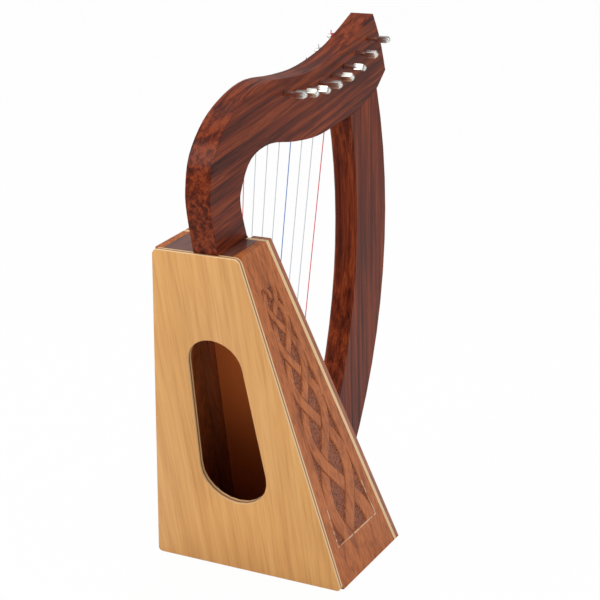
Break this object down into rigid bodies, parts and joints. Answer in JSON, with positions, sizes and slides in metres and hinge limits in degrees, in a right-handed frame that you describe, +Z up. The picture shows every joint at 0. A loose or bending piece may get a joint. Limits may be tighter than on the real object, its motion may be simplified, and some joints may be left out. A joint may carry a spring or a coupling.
{
  "type": "lap harp",
  "caption": "Small lap harp with a wedge-shaped sound box, carved sides, swan neck, bowed pillar, strings and turning tuning pins.",
  "frame": {"origin": "middle of the sound box's flat underside, in the middle plane of the box", "axes": "+X from the back panel towards the pillar, +Y towards the string side of the neck, +Z up"},
  "size_m": [0.3836, 0.207, 0.528],
  "materials": {
    "pale_ply": "satin lacquered pale plywood",
    "pale_wood": "bare sanded wood",
    "side_wood": "satin lacquered reddish-brown wood",
    "dark_wood": "polished dark red-brown wood",
    "nickel": "nickel plate",
    "steel": "zinc plate",
    "brass": "polished",
    "red_string": "smooth nylon",
    "blue_string": "smooth nylon",
    "clear_string": "smooth clear nylon"
  },
  "bodies": {
    "harp_frame": {"back_panel": "pale_ply", "side_panel_left": "side_wood", "side_panel_right": "side_wood", "top_block": "side_wood", "base_board": "side_wood", "soundboard": "pale_ply", "edge_batten_left": "side_wood", "edge_batten_right": "side_wood", "lining_left": "pale_wood", "lining_right": "pale_wood", "foot_block": "pale_wood", "string_strip": "side_wood", "string_rib": "pale_wood", "neck": "dark_wood", "pillar": "dark_wood", "neck_dowel_1": "pale_wood", "neck_dowel_2": "pale_wood", "pillar_dowel_1": "pale_wood", "pillar_dowel_2": "pale_wood", "foot_screw_1": "steel", "foot_screw_2": "steel", "eyelet_1": "brass", "eyelet_2": "brass", "eyelet_3": "brass", "eyelet_4": "brass", "eyelet_5": "brass", "eyelet_6": "brass", "eyelet_7": "brass", "eyelet_8": "brass", "string_1": "red_string", "string_2": "clear_string", "string_3": "clear_string", "string_4": "clear_string", "string_5": "blue_string", "string_6": "clear_string", "string_7": "clear_string", "string_8": "red_string"},
    "pin_1": {"tuning_pin_1": "nickel", "string_coil_1": "red_string"},
    "pin_2": {"tuning_pin_2": "nickel", "string_coil_2": "clear_string"},
    "pin_3": {"tuning_pin_3": "nickel", "string_coil_3": "clear_string"},
    "pin_4": {"tuning_pin_4": "nickel", "string_coil_4": "clear_string"},
    "pin_5": {"tuning_pin_5": "nickel", "string_coil_5": "blue_string"},
    "pin_6": {"tuning_pin_6": "nickel", "string_coil_6": "clear_string"},
    "pin_7": {"tuning_pin_7": "nickel", "string_coil_7": "clear_string"},
    "pin_8": {"tuning_pin_8": "nickel", "string_coil_8": "red_string"}
  },
  "joints": [
    {"name": "pin_1_turn", "type": "hinge", "parent": "harp_frame", "child": "pin_1", "pos_m": [-0.03137, -0.0099, 0.47554], "axis": [0, 1, 0], "continuous": true},
    {"name": "pin_2_turn", "type": "hinge", "parent": "harp_frame", "child": "pin_2", "pos_m": [-0.00657, -0.0099, 0.47346], "axis": [0, 1, 0], "continuous": true},
    {"name": "pin_3_turn", "type": "hinge", "parent": "harp_frame", "child": "pin_3", "pos_m": [0.01903, -0.0099, 0.47265], "axis": [0, 1, 0], "continuous": true},
    {"name": "pin_4_turn", "type": "hinge", "parent": "harp_frame", "child": "pin_4", "pos_m": [0.04543, -0.0099, 0.47388], "axis": [0, 1, 0], "continuous": true},
    {"name": "pin_5_turn", "type": "hinge", "parent": "harp_frame", "child": "pin_5", "pos_m": [0.07263, -0.0099, 0.47754], "axis": [0, 1, 0], "continuous": true},
    {"name": "pin_6_turn", "type": "hinge", "parent": "harp_frame", "child": "pin_6", "pos_m": [0.10063, -0.0099, 0.48314], "axis": [0, 1, 0], "continuous": true},
    {"name": "pin_7_turn", "type": "hinge", "parent": "harp_frame", "child": "pin_7", "pos_m": [0.12943, -0.0099, 0.4926], "axis": [0, 1, 0], "continuous": true},
    {"name": "pin_8_turn", "type": "hinge", "parent": "harp_frame", "child": "pin_8", "pos_m": [0.15903, -0.0099, 0.50389], "axis": [0, 1, 0], "continuous": true}
  ]
}
